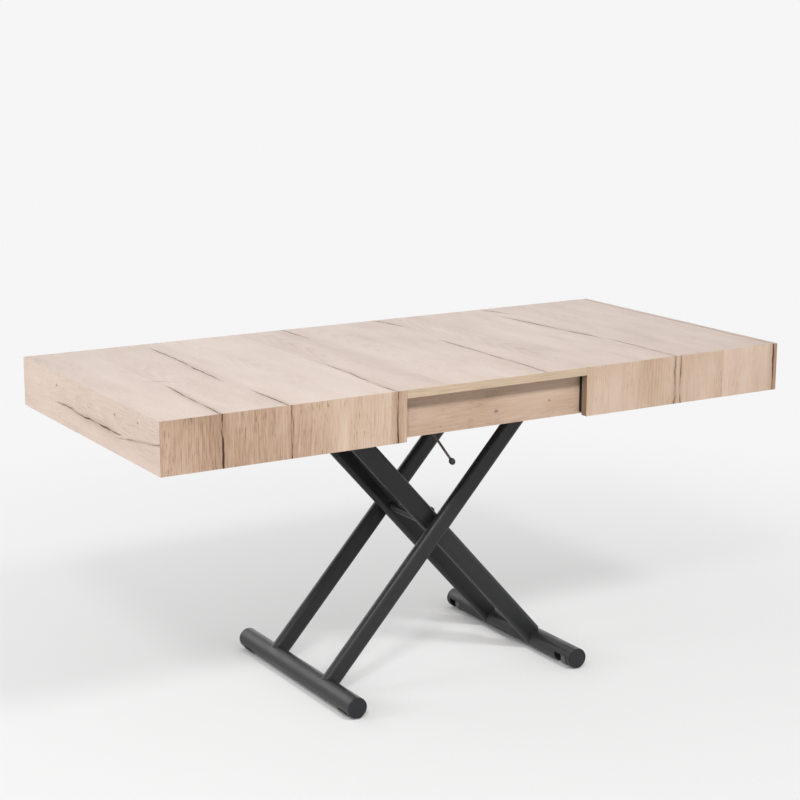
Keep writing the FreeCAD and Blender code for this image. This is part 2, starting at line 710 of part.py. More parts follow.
def pivots():
    """The middle axle with its bushes and washers, the upper bushes and the roller axle."""
    axle = rod("centre_axle", "centre_axle_radius", "2 * centre_axle_half",
               "frame_shift", "-centre_axle_half", "middle_height")
    keep(axle, "centre_axle")
    centre_bushes = []
    hinge_bushes = []
    washers = []
    for sign in ("-", ""):
        bush = ring("centre_bush", "centre_bush_radius", "centre_bush_bore", "leg_thickness")
        centre_bushes.append(place(bush, "frame_shift", sign + "inner_leg_y", "middle_height"))
        bush = ring("hinge_bush", "hinge_bush_radius", "hinge_bush_bore",
                    "leg_thickness + 2 * hinge_bush_lip")
        hinge_bushes.append(place(bush, "left_axis_x", sign + "inner_leg_y", "pivot_height"))
        washer = ring("centre_washer", "washer_radius", "centre_bush_bore", "leg_gap - washer_play")
        middle = "(inner_leg_y + leg_half_thickness + (leg_gap - washer_play) / 2)"
        washers.append(place(washer, "frame_shift", sign + middle, "middle_height"))
    group("centre_bushes", centre_bushes)
    group("hinge_bushes", hinge_bushes)
    group("centre_washers", washers)
    axle = rod("roller_axle", "roller_axle_radius", "roller_outer_face * 2",
               "right_axis_x", "-roller_outer_face", "pivot_height")
    keep(axle, "roller_axle")


def brace_plate():
    """The bent plate welded between the inner legs above their middle pivot."""
    plate = body("leg_brace_plate")
    section = sketch_on(plate, "XZ_Plane")
    outline(section, [
        ("-brace_end", "brace_offset_high"), ("-brace_bend", "brace_offset_high"),
        ("-brace_start", "brace_offset_low"), ("-brace_start", "brace_low_back"),
        ("-brace_bend", "brace_high_back"), ("-brace_end", "brace_high_back"),
    ])
    pad(plate, section, "inner_leg_face * 2", both_ways=True)
    keep(place(plate, "frame_shift", "0", "middle_height", ACROSS, "leg_slope"), "leg_brace_plate")


def rollers():
    """The two rollers that run in the rails at the top of the outer legs."""
    for edge, turn in (("front", 0), ("back", HALF_TURN)):
        roller = body(edge + "_roller")
        section = sketch_on(roller, "YZ_Plane")
        outline(section, [
            ("-roller_outer_face", "roller_bore"), ("-roller_hub_face", "roller_bore"),
            ("-roller_hub_face", "roller_hub_radius"), ("-roller_inner_face", "roller_hub_radius"),
            ("-roller_inner_face", "roller_radius"), ("-roller_outer_face", "roller_radius"),
        ])
        revolve(roller, section, "H_Axis")
        keep(place(roller, "right_axis_x", "0", "pivot_height", UP, turn), roller.Name)


def bar_tube(name, x):
    """A round foot bar along Y."""
    bar = body(name)
    section = sketch_on(bar, "XZ_Plane")
    circle(section, "0", "0", "bar_radius")
    circle(section, "0", "0", "bar_hollow")
    pad(bar, section, "tube_half * 2", both_ways=True)
    return place(bar, x, "0", "foot_axis_height")


def plain_plug(name, x, turn):
    """An end plug: a flat cap on a stem in the bar's bore, drawn for the front end."""
    plug = body(name)
    section = sketch_on(plug, "YZ_Plane")
    outline(section, [
        ("-bar_half", "0"), ("-plug_stem_end", "0"), ("-plug_stem_end", "plug_radius"),
        ("-tube_half", "plug_radius"), ("-tube_half", "plug_cap_radius"), ("-bar_half", "plug_cap_radius"),
    ])
    revolve(plug, section, "H_Axis")
    return place(plug, x, "0", "foot_axis_height", UP, turn)


def left_foot():
    """The left foot bar with its end plugs and the rubber pads that it stands on."""
    keep(bar_tube("left_foot_bar", "left_axis_x"), "left_foot_bar")
    pads = []
    for edge, turn in (("front", 0), ("back", HALF_TURN)):
        name = f"left_bar_{edge}_plug"
        keep(plain_plug(name, "left_axis_x", turn), name)
        pad_body = body(edge + "_foot_pad")
        section = sketch_on(pad_body, "YZ_Plane")
        rectangle(section, "-foot_pad_far", "-foot_pad_radius", "-foot_pad_near", "-bar_radius")
        revolve(pad_body, section, "H_Axis", "foot_pad_arc", both_ways=True)
        pads.append(place(pad_body, "left_axis_x", "0", "foot_axis_height", UP, turn))
    group("foot_pads", pads)


def right_foot():
    """The right foot bar: slotted under each end, where a plug holds a wheel on its axle."""
    bar = bar_tube("right_foot_bar", "right_axis_x")
    for start in ("slot_near", "-slot_far"):
        slot = sketch_on(bar, "XZ_Plane", f"-({start})")
        rectangle(slot, "-bar_clear", "-bar_clear", "bar_clear", "wheel_slot_rise")
        pocket(bar, slot, "wheel_slot")
    keep(bar, "right_foot_bar")
    axles = []
    for edge, turn in (("front", 0), ("back", HALF_TURN)):
        plug = body(f"right_bar_{edge}_plug")
        section = sketch_on(plug, "YZ_Plane")
        outline(section, [
            ("-bar_half", "0"), ("-wheel_plug_end", "0"), ("-wheel_plug_end", "plug_radius"),
            ("-tube_half", "plug_radius"), ("-tube_half", "plug_cap_radius"),
            ("-bar_half", "plug_cap_radius"),
        ])
        revolve(plug, section, "H_Axis")
        room = sketch_on(plug, "XZ_Plane", "slot_far")
        rectangle(room, "-bar_clear", "-bar_clear", "bar_clear", "wheel_room")
        pocket(plug, room, "wheel_slot")
        bore = sketch_on(plug, "XZ_Plane", "tube_half")
        circle(bore, "0", "-wheel_drop", "wheel_axle_radius")
        pocket(plug, bore, "tube_half - wheel_plug_end")
        keep(place(plug, "right_axis_x", "0", "foot_axis_height", UP, turn), plug.Name)

        start = "-tube_half" if edge == "front" else "wheel_plug_end"
        axles.append(rod(edge + "_wheel_axle", "wheel_axle_radius", "tube_half - wheel_plug_end",
                         "right_axis_x", start, "foot_axis_height - wheel_drop"))

        wheel = body(edge + "_wheel")
        section = sketch_on(wheel, "YZ_Plane")
        outline(section, [
            ("-wheel_hub_half", "wheel_bore"), ("wheel_hub_half", "wheel_bore"),
            ("wheel_hub_half", "wheel_hub_radius"), ("wheel_half", "wheel_hub_radius"),
            ("wheel_half", "wheel_shoulder"), ("wheel_flat_half", "wheel_radius"),
            ("-wheel_flat_half", "wheel_radius"), ("-wheel_half", "wheel_shoulder"),
            ("-wheel_half", "wheel_hub_radius"), ("-wheel_hub_half", "wheel_hub_radius"),
        ])
        revolve(wheel, section, "H_Axis")
        sign = "-" if edge == "front" else ""
        place(wheel, "right_axis_x", sign + "wheel_y", "foot_axis_height - wheel_drop")
        keep(wheel, wheel.Name)
    group("wheel_axles", axles)


def release_lever():
    """The lever that frees the gas spring, its pin and its bracket on the front rail."""
    bracket = body("lever_bracket")
    section = sketch_on(bracket, "XY_Plane")
    outline(section, [
        ("-bracket_outside", "bracket_front"), ("-bracket_inside", "bracket_front"),
        ("-bracket_inside", "bracket_floor"), ("bracket_inside", "bracket_floor"),
        ("bracket_inside", "bracket_front"), ("bracket_outside", "bracket_front"),
        ("bracket_outside", "bracket_seat"), ("-bracket_outside", "bracket_seat"),
    ])
    pad(bracket, section, "bracket_height")
    hole = sketch_on(bracket, "YZ_Plane")
    circle(hole, "lever_pivot_y", "bracket_drop", "lever_pin_radius")
    pocket(bracket, hole)
    keep(place(bracket, "lever_x", "0", "bracket_bottom"), "lever_bracket")

    pin = rod("lever_pin", "lever_pin_radius", "bracket_outside * 2", "lever_x - bracket_outside",
              "lever_pivot_y", "lever_pivot_z", ACROSS, QUARTER_TURN)
    keep(pin, "lever_pin")

    lever = body("lever_rod")
    hub = sketch_on(lever, "YZ_Plane")
    circle(hub, "0", "0", "lever_hub_radius")
    pad(lever, hub, "lever_hub_width", both_ways=True)
    shank = sketch_on(lever, "XY_Plane")
    circle(shank, "0", "0", "lever_radius")
    pad(lever, shank, "lever_length")
    bore = sketch_on(lever, "YZ_Plane")
    circle(bore, "0", "0", "lever_bore")
    pocket(lever, bore)
    keep(place(lever, "lever_x", "lever_pivot_y", "lever_pivot_z", ALONG, "lever_tilt"), "lever_rod")

    ball = doc.addObject("Part::Ellipsoid", "knob_ball")
    bind(ball, "Radius1", "knob_length / 2")
    bind(ball, "Radius2", "knob_diameter / 2")
    knob_y = "lever_pivot_y - (lever_length - knob_grip + knob_length / 2) * cos(lever_droop * 1deg)"
    knob_z = "lever_pivot_z - (lever_length - knob_grip + knob_length / 2) * sin(lever_droop * 1deg)"
    place(ball, "lever_x", knob_y, knob_z, ALONG, "lever_tilt")
    socket = rod("knob_socket", "lever_radius", "lever_length", "lever_x", "lever_pivot_y", "lever_pivot_z",
                 ALONG, "lever_tilt")
    keep(cut(ball, socket), "lever_knob")


def eye_ended(name, axis_end):
    """A spring end: an eye about its pin, in a body whose X runs along the spring."""
    piece = body(name)
    eye = sketch_on(piece, "XZ_Plane")
    circle(eye, "0", "0", "eye_radius")
    pad(piece, eye, "eye_width", both_ways=True)
    section = sketch_on(piece, "XZ_Plane")
    outline(section, axis_end)
    revolve(piece, section, "H_Axis")
    bore = sketch_on(piece, "XZ_Plane")
    circle(bore, "0", "0", "eye_bore")
    pocket(piece, bore)
    return piece


def gas_spring():
    """The spring beside the front inner leg and the crank that it turns on the middle axle."""
    pin = rod("spring_anchor_pin", "spring_pin_radius", "inner_leg_face - spring_side + crank_inside",
              "anchor_x", "-inner_leg_face", "anchor_z")
    keep(pin, "spring_anchor_pin")

    barrel = eye_ended("spring_barrel", [
        ("0", "0"), ("barrel_floor", "0"), ("barrel_floor", "barrel_bore"), ("barrel_lip", "barrel_bore"),
        ("barrel_lip", "barrel_mouth_radius"), ("barrel_length", "barrel_mouth_radius"),
        ("barrel_length", "barrel_radius"), ("eye_radius", "barrel_radius"),
        ("eye_radius", "spring_rod_radius"), ("0", "spring_rod_radius"),
    ])
    keep(place(barrel, "anchor_x", "-spring_side", "anchor_z", ACROSS, "spring_slope_back"), "spring_barrel")

    shank = eye_ended("spring_rod", [
        ("0", "0"), ("spring_rod_length", "0"), ("spring_rod_length", "spring_rod_radius"),
        ("0", "spring_rod_radius"),
    ])
    keep(place(shank, "crank_pin_x", "-spring_side", "crank_pin_z", ACROSS, "spring_slope"), "spring_rod")

    crank = body("spring_crank")
    pin = sketch_on(crank, "XZ_Plane")
    circle(pin, "crank_length", "0", "spring_pin_radius")
    pad(crank, pin, "2 * crank_inside + crank_wall", both_ways=True)
    for start in ("crank_inside + crank_wall", "-crank_inside"):
        tip = sketch_on(crank, "XZ_Plane", start)
        circle(tip, "crank_length", "0", "crank_tip_radius")
        pad(crank, tip, "crank_wall").Reversed = True
        arm = sketch_on(crank, "XZ_Plane", start)
        rectangle(arm, "0", "-crank_tip_radius", "crank_length", "crank_tip_radius")
        pad(crank, arm, "crank_wall").Reversed = True
        boss = sketch_on(crank, "XZ_Plane", start)
        circle(boss, "0", "0", "crank_boss_radius")
        pad(crank, boss, "crank_wall").Reversed = True
    bore = sketch_on(crank, "XZ_Plane")
    circle(bore, "0", "0", "centre_axle_radius")
    pocket(crank, bore)
    place(crank, "frame_shift", "-spring_side", "middle_height", -ACROSS, "crank_slope")
    keep(crank, crank.Name)


fixed_box()
rails_and_guides()
top_hinge()
sliding_half("left", 0)
sliding_half("right", HALF_TURN)
extension_leaf()
legs()
pivots()
brace_plate()
rollers()
left_foot()
right_foot()
release_lever()
gas_spring()
doc.recompute()

failed = [thing.Name for thing in doc.Objects if {"Invalid", "Error"} & set(thing.State)]
failed += [piece.Label for piece in parts if piece.Shape.isNull() or not piece.Shape.isValid()]
if failed:
    raise RuntimeError("not built: " + ", ".join(failed))

os.makedirs("parts", exist_ok=True)
for piece in parts:
    piece.Shape.exportStep(f"parts/{piece.Label}.step")
print(len(parts), "pieces")
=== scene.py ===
"""Looks of the convertible coffee and dining table: oak decor, dark coated steel and a pale studio."""
import json
import math
from typing import NamedTuple

import bmesh
import bpy
from mathutils import Matrix, Vector


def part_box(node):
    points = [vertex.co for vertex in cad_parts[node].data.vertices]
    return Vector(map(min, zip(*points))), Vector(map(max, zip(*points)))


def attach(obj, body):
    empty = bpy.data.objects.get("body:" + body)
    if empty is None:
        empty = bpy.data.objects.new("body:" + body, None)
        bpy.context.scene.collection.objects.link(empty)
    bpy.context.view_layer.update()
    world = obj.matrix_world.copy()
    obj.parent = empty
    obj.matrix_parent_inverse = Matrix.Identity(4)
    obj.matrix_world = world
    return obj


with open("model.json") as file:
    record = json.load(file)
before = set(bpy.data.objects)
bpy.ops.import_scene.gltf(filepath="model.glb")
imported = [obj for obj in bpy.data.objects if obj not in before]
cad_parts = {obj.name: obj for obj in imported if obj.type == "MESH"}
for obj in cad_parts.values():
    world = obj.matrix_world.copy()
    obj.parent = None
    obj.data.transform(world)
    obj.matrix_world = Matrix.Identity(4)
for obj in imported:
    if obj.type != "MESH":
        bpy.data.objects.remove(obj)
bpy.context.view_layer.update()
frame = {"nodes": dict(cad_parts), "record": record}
nodes = frame["nodes"]

# The photograph's camera
CAMERA_PLACE = Vector((-2.20789, -3.56746, 1.57721))
CAMERA_AZIMUTH = math.radians(-31.4788)
CAMERA_ELEVATION = math.radians(12.5896)
CAMERA_ROLL = math.radians(0.1884)
CAMERA_LENS = 82.563
SENSOR_WIDTH = 36.0
FAR_CLIP = 200.0

# Brightness of the background: what it lights, and what is seen of it
SKY_LIGHT = 0.23
SKY_SEEN = 0.92

# The floor's size, the grey that it throws back as light, and the grey that is seen of it
FLOOR_RADIUS = 40.0
FLOOR_CORNERS = 96
FLOOR_LIT = (0.60, 0.60, 0.60)
FLOOR_SEEN = (0.84, 0.84, 0.84)

# The height and half the width of the top, from the frame
_, leaf_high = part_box("extension_leaf")
TABLE_HEIGHT = leaf_high.z
HALF_WIDTH = leaf_high.y

# The felt glide strips, whose near-black is painted shade for the gap: their length, what they stop short
# of, and how their corners and rims are eased
STRIP_LENGTH = 0.030
STRIP_OFF_BOX = 0.0004
STRIP_ABOVE_RIM = 0.006
STRIP_BELOW_BOARD = 0.005
STRIP_CORNER = 0.003
STRIP_EDGE = 0.0006

# How strongly each part of the grain shades the oak
BAND_WEIGHT = 0.50
BLOTCH_WEIGHT = 0.52
STREAK_WEIGHT = 0.46
FIBRE_WEIGHT = 0.52
DASH_WEIGHT = 0.34
PORE_WEIGHT = 0.12
RING_WEIGHT = 0.15
RING_WEIGHT_LOST_WHEN_RICH = 0.05

# The growth rings, and how steeply their heart line dips along a plank
RINGS_PER_METRE = 130.0
HEART_DIP = 0.11

# How far the grain and the rings wander, and how far apart two tones lie in the pattern, in metres
GRAIN_DRIFT = 0.05
RING_DRIFT = 0.012
GRAIN_SHIFT_PER_TONE = 41.0

# The oak's relief and shine
FIBRE_RELIEF = 0.5
PORE_RELIEF = 0.35
OAK_ROUGHNESS = 0.45
OAK_SPECULAR = 0.5
CRACK_SPECULAR = 0.05

# The browns of cracks, the stain beside them and knots, and how far each covers the oak
CRACK_BROWN = (0.055, 0.026, 0.014)
CRACK_COVER = 0.94
STAIN_BROWN = (0.36, 0.225, 0.150)
STAIN_COVER = 0.46
KNOT_BROWN = (0.17, 0.11, 0.075)
KNOT_COVER = 0.7

# What a knot's offset along its apron counts for, and the shares of its size between which it fades out
KNOT_SQUEEZE = 0.7
KNOT_CORE = 0.4
KNOT_RIM = 1.4

# Oak from its darkest to its lightest shade: on the top, and where it is richest
PALE_OAK = [
    (0.0, (0.345, 0.236, 0.182)),
    (0.28, (0.480, 0.357, 0.292)),
    (0.5, (0.576, 0.447, 0.378)),
    (0.72, (0.641, 0.518, 0.445)),
    (1.0, (0.700, 0.590, 0.517)),
]
RICH_OAK = [
    (0.0, (0.215, 0.118, 0.068)),
    (0.28, (0.410, 0.258, 0.168)),
    (0.5, (0.580, 0.405, 0.288)),
    (0.72, (0.690, 0.520, 0.402)),
    (1.0, (0.780, 0.635, 0.525)),
]


class Plank(NamedTuple):
    """A plank: where it starts along the table, its tone, and its heart line's place and depth."""

    start: float
    tone: float
    heart: float
    depth: float


class Knot(NamedTuple):
    """A small knot: where it sits along its apron and above the floor, and roughly its radius."""

    along: float
    height: float
    size: float


class Lamp(NamedTuple):
    """A round soft lamp: where it hangs, what it points at, its width in metres and its power in watts."""

    name: str
    place: tuple
    aim: tuple
    size: float
    power: float


# The planks of the top and the long aprons lie between minus and plus this along the table, in metres
PLANK_SPAN = 1.0
TOP_PLANKS = [
    Plank(start=-0.95, tone=0.56, heart=-0.74, depth=0.10),
    Plank(start=-0.664, tone=0.54, heart=-0.60, depth=0.07),
    Plank(start=-0.510, tone=0.62, heart=-0.38, depth=0.05),
    Plank(start=-0.260, tone=0.46, heart=-0.19, depth=0.03),
    Plank(start=-0.130, tone=0.53, heart=-0.06, depth=0.04),
    Plank(start=0.130, tone=0.48, heart=0.24, depth=0.08),
    Plank(start=0.375, tone=0.47, heart=0.44, depth=0.05),
    Plank(start=0.500, tone=0.49, heart=0.60, depth=0.06),
    Plank(start=0.626, tone=0.52, heart=0.70, depth=0.09),
    Plank(start=0.788, tone=0.45, heart=0.82, depth=0.12),
]
FRONT_PLANKS = [
    Plank(start=-0.95, tone=0.43, heart=-0.74, depth=0.10),
    Plank(start=-0.664, tone=0.45, heart=-0.60, depth=0.07),
    Plank(start=-0.510, tone=0.58, heart=-0.38, depth=0.05),
    Plank(start=-0.276, tone=0.45, heart=-0.19, depth=0.03),
    Plank(start=0.130, tone=0.61, heart=0.30, depth=0.08),
    Plank(start=0.498, tone=0.65, heart=0.56, depth=0.06),
    Plank(start=0.626, tone=0.77, heart=0.70, depth=0.09),
    Plank(start=0.788, tone=0.40, heart=0.82, depth=0.12),
]

END_KNOTS = [
    Knot(along=0.170, height=0.732, size=0.0032),
    Knot(along=-0.152, height=0.730, size=0.0036),
    Knot(along=-0.269, height=0.736, size=0.0030),
]
BOX_KNOTS = [
    Knot(along=0.010, height=0.681, size=0.0040),
    Knot(along=0.153, height=0.689, size=0.0024),
    Knot(along=-0.134, height=0.664, size=0.0015),
]

LAMPS = [
    Lamp("front", place=(1.2, -4.2, 1.9), aim=(0.0, 0.0, 0.6), size=1.6, power=8.0),
    Lamp("left", place=(-4.0, 0.6, 1.5), aim=(-0.4, 0.0, 0.5), size=1.4, power=57.0),
    Lamp("back", place=(4.2, 7.2, 2.4), aim=(0.0, 0.0, 0.76), size=5.0, power=62.0),
    Lamp("ceiling", place=(-2.1, 5.2, 3.1), aim=(-0.2, 0.0, 0.2), size=4.4, power=98.0),
    Lamp("top_left", place=(-3.0, -3.9, 4.6), aim=(0.0, 0.0, 0.7), size=1.0, power=132.0),
    Lamp("top_right", place=(0.2, -3.9, 4.6), aim=(0.0, 0.0, 0.7), size=1.0, power=140.0),
]


class Graph:
    """Builds a node tree from left to right. Most calls return an output socket."""

    def __init__(self, tree):
        self.tree = tree

    def add(self, kind, **settings):
        """The node itself, for what the other calls don't cover."""
        node = self.tree.nodes.new(kind)
        for name, setting in settings.items():
            setattr(node, name, setting)
        return node

    def feed(self, socket, source):
        """Links a socket, or sets its value."""
        if isinstance(source, bpy.types.NodeSocket):
            self.tree.links.new(source, socket)
        else:
            socket.default_value = source

    def math(self, operation, *sources):
        node = self.add("ShaderNodeMath", operation=operation)
        for socket, source in zip(node.inputs, sources):
            self.feed(socket, source)
        return node.outputs[0]

    def plus(self, a, b):
        return self.math("ADD", a, b)

    def minus(self, a, b):
        return self.math("SUBTRACT", a, b)

    def times(self, a, b):
        return self.math("MULTIPLY", a, b)

    def times_plus(self, a, b, c):
        """a times b, plus c."""
        return self.math("MULTIPLY_ADD", a, b, c)

    def shared(self, a, b, part):
        """A part of a, and the rest of b."""
        return self.plus(self.times(a, part), self.times(b, 1.0 - part))

    def distance(self, a, b):
        """How far from nought a point is, from its two coordinates."""
        return self.math("SQRT", self.plus(self.times(a, a), self.times(b, b)))

    def swing(self, noise, weight, base=0.0):
        """What a noise adds to a base as it swings about its middle."""
        return self.times_plus(self.minus(noise, 0.5), weight, base)

    def spread(self, source, low, high, to_low=0.0, to_high=1.0):
        """Takes low to high onto another span, with soft ends."""
        node = self.add("ShaderNodeMapRange", interpolation_type="SMOOTHSTEP")
        for socket, value in zip(node.inputs, (source, low, high, to_low, to_high)):
            self.feed(socket, value)
        return node.outputs[0]

    def vector(self, x, y, z=0.0):
        node = self.add("ShaderNodeCombineXYZ")
        for socket, source in zip(node.inputs, (x, y, z)):
            self.feed(socket, source)
        return node.outputs[0]

    def split(self, source):
        node = self.add("ShaderNodeSeparateXYZ")
        self.feed(node.inputs[0], source)
        return node.outputs

    def own_place(self):
        """Where a point is on the object, in metres."""
        return self.split(self.add("ShaderNodeTexCoord").outputs["Object"])

    def own_normal(self):
        """Which way a point faces, in the object's own axes."""
        return self.split(self.add("ShaderNodeTexCoord").outputs["Normal"])

    def noise(self, place, detail=2.0, roughness=0.5):
        node = self.add("ShaderNodeTexNoise")
        self.feed(node.inputs["Vector"], place)
        node.inputs["Scale"].default_value = 1.0
        node.inputs["Detail"].default_value = detail
        node.inputs["Roughness"].default_value = roughness
        return node.outputs["Fac"]

    def streaks(self, across, along, across_scale, along_scale, detail=2.0, seed=0.0):
        """Noise drawn out along the grain."""
        place = self.vector(self.times(across, across_scale), self.times(along, along_scale), seed)
        return self.noise(place, detail)

    def grit(self, scale, detail=2.0, roughness=0.5):
        """Noise that is even in all directions, with so many grains to the metre."""
        x, y, z = self.own_place()
        place = self.vector(self.times(x, scale), self.times(y, scale), self.times(z, scale))
        return self.noise(place, detail, roughness)

    def ramp(self, factor, stops, steps=False):
        node = self.add("ShaderNodeValToRGB")
        band = node.color_ramp
        band.interpolation = "CONSTANT" if steps else "LINEAR"
        while len(band.elements) < len(stops):
            band.elements.new(1.0)
        for element, (position, colour) in zip(band.elements, stops):
            element.position = position
            element.color = (*colour, 1.0)
        self.feed(node.inputs[0], factor)
        return node.outputs[0]

    def mix(self, factor, a, b):
        """From colour a to colour b."""
        node = self.add("ShaderNodeMix", data_type="RGBA")
        factor_socket, a_socket, b_socket = node.inputs[0], node.inputs[6], node.inputs[7]
        self.feed(factor_socket, factor)
        for socket, source in ((a_socket, a), (b_socket, b)):
            self.feed(socket, source if isinstance(source, bpy.types.NodeSocket) else (*source, 1.0))
        return node.outputs[2]

    def bump(self, height, strength, distance):
        node = self.add("ShaderNodeBump")
        node.inputs["Strength"].default_value = strength
        node.inputs["Distance"].default_value = distance
        self.feed(node.inputs["Height"], height)
        return node.outputs["Normal"]


def new_material(name, roughness, metallic=0.0, specular=0.5):
    """A material with its principled shader and graph."""
    material = bpy.data.materials.new(name)
    material.use_nodes = True
    graph = Graph(material.node_tree)
    shader = material.node_tree.nodes["Principled BSDF"]
    shader.inputs["Roughness"].default_value = roughness
    shader.inputs["Metallic"].default_value = metallic
    shader.inputs["Specular IOR Level"].default_value = specular
    return material, graph, shader


def new_object(name, data):
    """An object in the scene."""
    made = bpy.data.objects.new(name, data)
    bpy.context.scene.collection.objects.link(made)
    return made


class Cracks:
    """The drying cracks of one board, along its grain: their dark lines, and the stain around them."""

    # The taper at each end, the tip's width, the line's jitter and the strand's way aside, in metres
    TAPER = 0.10
    THINNEST = 0.00001
    JITTER = 0.0035
    STRAND_ASIDE = 0.022
    # How far the stain reaches, and a place far from all cracks, in crack widths
    STAIN_REACH = 6.5
    FAR_OFF = 100.0

    def __init__(self, graph, across, along):
        self.graph = graph
        self.along = along
        self.wander = graph.minus(self.ripple(across, along_scale=7.0, across_scale=9.0, detail=3.0), 0.5)
        jitter = self.ripple(across, along_scale=60.0, across_scale=30.0, seed=2.0)
        self.across = graph.swing(jitter, -self.JITTER, across)
        aside = self.ripple(across, along_scale=11.0, across_scale=9.0, seed=4.0)
        self.strand_across = graph.swing(aside, -self.STRAND_ASIDE, self.across)
        self.ratio = self.FAR_OFF
        self.strand_ratio = self.FAR_OFF

    def ripple(self, across, along_scale, across_scale, seed=0.0, detail=2.0):
        """Noise that changes on the way along a crack."""
        graph = self.graph
        place = graph.vector(graph.times(self.along, along_scale), graph.times(across, across_scale), seed)
        return graph.noise(place, detail)

    def add(self, place, start, end, lean=0.0, sway=0.02, width=0.0016):
        """A crack that tapers off. Its place is its middle's, and its width its reach to each side."""
        graph = self.graph
        reach = abs(end - start) / 2
        from_middle = graph.minus(self.along, (start + end) / 2)
        line = graph.times_plus(from_middle, lean, place)
        line = graph.times_plus(self.wander, sway, line)
        breadth = graph.spread(graph.math("ABSOLUTE", from_middle), reach - self.TAPER, reach,
                               to_low=width, to_high=self.THINNEST)
        self.ratio = self.nearest(self.ratio, self.across, line, breadth)
        self.strand_ratio = self.nearest(self.strand_ratio, self.strand_across, line, breadth)

    def add_through(self, place, sway, width):
        """A crack that runs on past both ends of the board, so that it doesn't taper."""
        self.add(place, start=-1.0, end=1.0, sway=sway, width=width)

    def nearest(self, ratio, across, line, breadth):
        """The smaller of a ratio and the distance from a line, in breadths."""
        graph = self.graph
        off = graph.math("ABSOLUTE", graph.minus(across, line))
        return graph.math("MINIMUM", ratio, graph.math("DIVIDE", off, breadth))

    def masks(self):
        """The line with its breaks and a thinner strand beside it, and the stain."""
        graph = self.graph
        breaks = self.ripple(self.across, along_scale=16.0, across_scale=9.0, seed=9.0)
        fullness = graph.spread(breaks, 0.34, 0.56, to_low=0.12, to_high=1.0)
        line = graph.math("DIVIDE", self.ratio, fullness)
        strand_breaks = self.ripple(self.across, along_scale=21.0, across_scale=9.0, seed=13.0)
        strand_fullness = graph.spread(strand_breaks, 0.46, 0.60, to_low=0.01, to_high=0.45)
        strand = graph.math("DIVIDE", self.strand_ratio, strand_fullness)
        line_dark = graph.spread(line, 0.35, 1.0, to_low=1.0, to_high=0.0)
        strand_dark = graph.spread(strand, 0.35, 1.0, to_low=0.8, to_high=0.0)
        stain = graph.spread(self.ratio, 0.0, self.STAIN_REACH, to_low=1.0, to_high=0.0)
        return graph.math("MAXIMUM", line_dark, strand_dark), stain


def group_with(name, inputs, outputs):
    """An empty node group with float inputs and named outputs."""
    tree = bpy.data.node_groups.new(name, "ShaderNodeTree")
    for label in inputs:
        tree.interface.new_socket(label, in_out="INPUT", socket_type="NodeSocketFloat")
    for label, kind in outputs:
        tree.interface.new_socket(label, in_out="OUTPUT", socket_type=kind)
    graph = Graph(tree)
    return graph, graph.add("NodeGroupInput").outputs, graph.add("NodeGroupOutput").inputs


def growth_rings(graph, across, side, along, length, heart, depth, shift):
    """The rings of a trunk whose heart line dips through the plank."""
    dip = graph.times_plus(along, HEART_DIP, depth)
    reach = graph.distance(graph.minus(side, heart), dip)
    drift = graph.streaks(across, length, across_scale=26.0, along_scale=7.0, detail=3.0, seed=shift)
    reach = graph.swing(drift, RING_DRIFT, reach)
    phase = graph.math("FRACT", graph.times(reach, RINGS_PER_METRE))
    rise = graph.spread(phase, 0.15, 0.8)
    fall = graph.spread(phase, 0.82, 1.0, to_low=1.0, to_high=0.0)
    strength = graph.streaks(across, length, across_scale=9.0, along_scale=1.7, seed=4.0)
    return graph.times(graph.times(rise, fall), graph.spread(strength, 0.42, 0.72))


